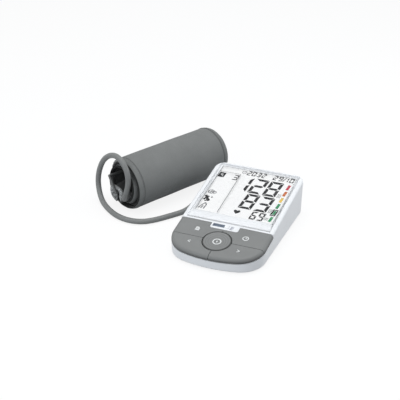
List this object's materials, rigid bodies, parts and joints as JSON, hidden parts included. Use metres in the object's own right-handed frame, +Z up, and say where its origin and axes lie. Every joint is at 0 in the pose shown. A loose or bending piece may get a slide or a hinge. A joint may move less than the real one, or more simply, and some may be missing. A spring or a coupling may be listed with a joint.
{
  "type": "arm cuff blood pressure monitor",
  "caption": "Wedge-shaped table blood pressure monitor with a large display and a grey key field, and a rolled fabric arm cuff on an air hose.",
  "frame": {"origin": "on the table, at the bottom centre of the box around the unit and the rolled cuff together, without the air hose", "axes": "+Z up, +Y from the front of the unit (its keys) to its raised back, +X to the right of someone reading the display; the rolled cuff lies on the left"},
  "size_m": [0.242, 0.2332, 0.0727],
  "materials": {
    "housing_shell": "satin",
    "keypad_plastic": "satin",
    "start_key_plastic": "satin",
    "knob_plastic": "satin",
    "clear_lens": "clear gloss",
    "lcd_glass": "satin",
    "tray_plastic": "matte",
    "circuit_board": "satin",
    "ribbon_film": "satin",
    "dome_rubber": "matte",
    "black_plastic": "matte",
    "steel": "satin",
    "clear_tube": "satin",
    "cell_wrap": "gloss",
    "foot_rubber": "matte",
    "hose_rubber": "satin",
    "plug_plastic": "satin",
    "cuff_cloth": "woven matte",
    "lining_cloth": "matte",
    "bladder_film": "matte",
    "binding_tape": "woven tape",
    "hook_tape": "hook pile",
    "ring_steel": "gloss black"
  },
  "bodies": {
    "monitor": {"top_housing": "housing_shell", "bottom_housing": "housing_shell", "display_lens": "clear_lens", "lcd_panel": "lcd_glass", "lcd_tray": "tray_plastic", "lcd_ribbon": "ribbon_film", "main_board": "circuit_board", "dome_sheet": "dome_rubber", "pressure_sensor": "black_plastic", "buzzer": "black_plastic", "selector_switch": "black_plastic", "motor_can": "steel", "pump_head": "black_plastic", "exhaust_valve": "black_plastic", "air_manifold": "clear_tube", "air_socket": "plug_plastic", "sensor_tube": "clear_tube", "battery_cells": "cell_wrap", "battery_contacts": "steel", "rubber_feet": "foot_rubber", "housing_screws": "steel"},
    "start_stop_key_body": {"start_stop_key": "start_key_plastic"},
    "memory_key_body": {"memory_key": "keypad_plastic"},
    "clock_key_body": {"clock_key": "keypad_plastic"},
    "back_arrow_key_body": {"back_arrow_key": "keypad_plastic"},
    "forward_arrow_key_body": {"forward_arrow_key": "keypad_plastic"},
    "selector_knob_body": {"selector_knob": "knob_plastic"},
    "battery_door_body": {"battery_door": "housing_shell"},
    "motor_rotor_body": {"motor_rotor": "steel"},
    "valve_plunger_body": {"valve_plunger": "steel"},
    "cuff_and_hose": {"air_plug": "plug_plastic", "air_hose": "hose_rubber", "hose_nozzle": "plug_plastic", "cuff_outer_fabric": "cuff_cloth", "cuff_lining": "lining_cloth", "air_bladder": "bladder_film", "left_edge_binding": "binding_tape", "right_edge_binding": "binding_tape", "hook_strip": "hook_tape", "cuff_end_loop": "cuff_cloth"},
    "slide_ring_body": {"slide_ring": "ring_steel"}
  },
  "joints": [
    {"name": "start_stop_press", "type": "slide", "parent": "monitor", "child": "start_stop_key_body", "axis": [0, 0.165, -0.9863], "range_m": [0, 0.0008], "stiffness_N_per_m": 1200},
    {"name": "memory_press", "type": "slide", "parent": "monitor", "child": "memory_key_body", "axis": [0, 0.165, -0.9863], "range_m": [0, 0.0008], "stiffness_N_per_m": 1200},
    {"name": "clock_press", "type": "slide", "parent": "monitor", "child": "clock_key_body", "axis": [0, 0.165, -0.9863], "range_m": [0, 0.0008], "stiffness_N_per_m": 1200},
    {"name": "back_arrow_press", "type": "slide", "parent": "monitor", "child": "back_arrow_key_body", "axis": [0, 0.165, -0.9863], "range_m": [0, 0.0008], "stiffness_N_per_m": 1200},
    {"name": "forward_arrow_press", "type": "slide", "parent": "monitor", "child": "forward_arrow_key_body", "axis": [0, 0.165, -0.9863], "range_m": [0, 0.0008], "stiffness_N_per_m": 1200},
    {"name": "selector_slide", "type": "slide", "parent": "monitor", "child": "selector_knob_body", "axis": [-1, 0, 0], "range_m": [0, 0.0138]},
    {"name": "battery_door_hinge", "type": "hinge", "parent": "monitor", "child": "battery_door_body", "pos_m": [0.0579, -0.0378, 0.0022], "axis": [-1, 0, 0], "range_deg": [0, 75]},
    {"name": "pump_motor_spin", "type": "hinge", "parent": "monitor", "child": "motor_rotor_body", "pos_m": [0.0519, 0.0338, 0.0156], "axis": [1, 0, 0], "continuous": true},
    {"name": "exhaust_valve_slide", "type": "slide", "parent": "monitor", "child": "valve_plunger_body", "axis": [0, 1, 0], "range_m": [0, 0.0015], "stiffness_N_per_m": 300},
    {"name": "air_plug_pull", "type": "slide", "parent": "monitor", "child": "cuff_and_hose", "axis": [-1, 0, 0], "range_m": [0, 0.012]},
    {"name": "slide_ring_swing", "type": "hinge", "parent": "cuff_and_hose", "child": "slide_ring_body", "pos_m": [-0.06178, 0.04006, 0.02013], "axis": [0.4337, 0.9011, 0], "range_deg": [0, 55]}
  ]
}
